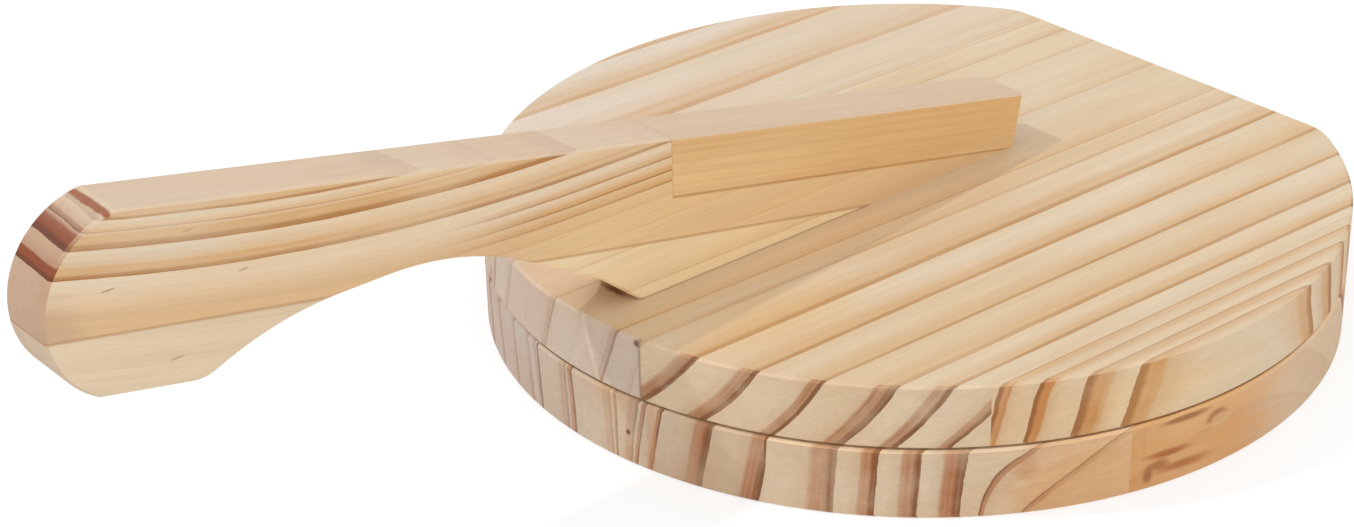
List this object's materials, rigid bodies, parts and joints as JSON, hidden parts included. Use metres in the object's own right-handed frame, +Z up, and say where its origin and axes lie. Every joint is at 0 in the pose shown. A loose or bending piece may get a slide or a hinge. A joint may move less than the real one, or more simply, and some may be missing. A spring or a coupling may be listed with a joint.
{
  "type": "wooden dumpling wrapper press",
  "caption": "Hinged press for dough wrappers: round pine boards with a flat hinged side and a laminated lever handle rising forwards from the upper board.",
  "frame": {"origin": "centre of the round boards on the underside of the lower board, where the press rests", "axes": "+Z up, +Y towards the flat side with the hinges, the handle reaches towards -Y, +X to the right of someone who stands at the handle and looks at the press"},
  "size_m": [0.18, 0.283, 0.0843],
  "materials": {
    "base_pine": "bare sanded",
    "press_pine": "bare sanded",
    "handle_pine": "bare sanded",
    "handle_pale_pine": "bare sanded",
    "hinge_steel": "zinc plated",
    "screw_steel": "zinc plated"
  },
  "bodies": {
    "base": {"base_plank_1": "base_pine", "base_plank_2": "base_pine", "base_plank_3": "base_pine", "base_plank_4_front": "base_pine", "base_plank_4_rear": "base_pine", "hinge_left_base_leaf": "hinge_steel", "hinge_left_pin": "hinge_steel", "hinge_right_base_leaf": "hinge_steel", "hinge_right_pin": "hinge_steel", "hinge_base_screws": "screw_steel"},
    "press": {"press_plank_1": "press_pine", "press_plank_2": "press_pine", "press_plank_3": "press_pine", "press_plank_4": "press_pine", "handle_grip": "handle_pine", "handle_rear_block": "handle_pine", "handle_foot": "handle_pale_pine", "handle_pommel": "handle_pale_pine", "handle_screws": "screw_steel", "hinge_left_press_leaf": "hinge_steel", "hinge_right_press_leaf": "hinge_steel", "hinge_press_screws": "screw_steel"}
  },
  "joints": [
    {"name": "press_hinge", "type": "hinge", "parent": "base", "child": "press", "pos_m": [0, 0.0801, 0.01485], "axis": [-1, 0, 0], "range_deg": [0, 165]}
  ]
}
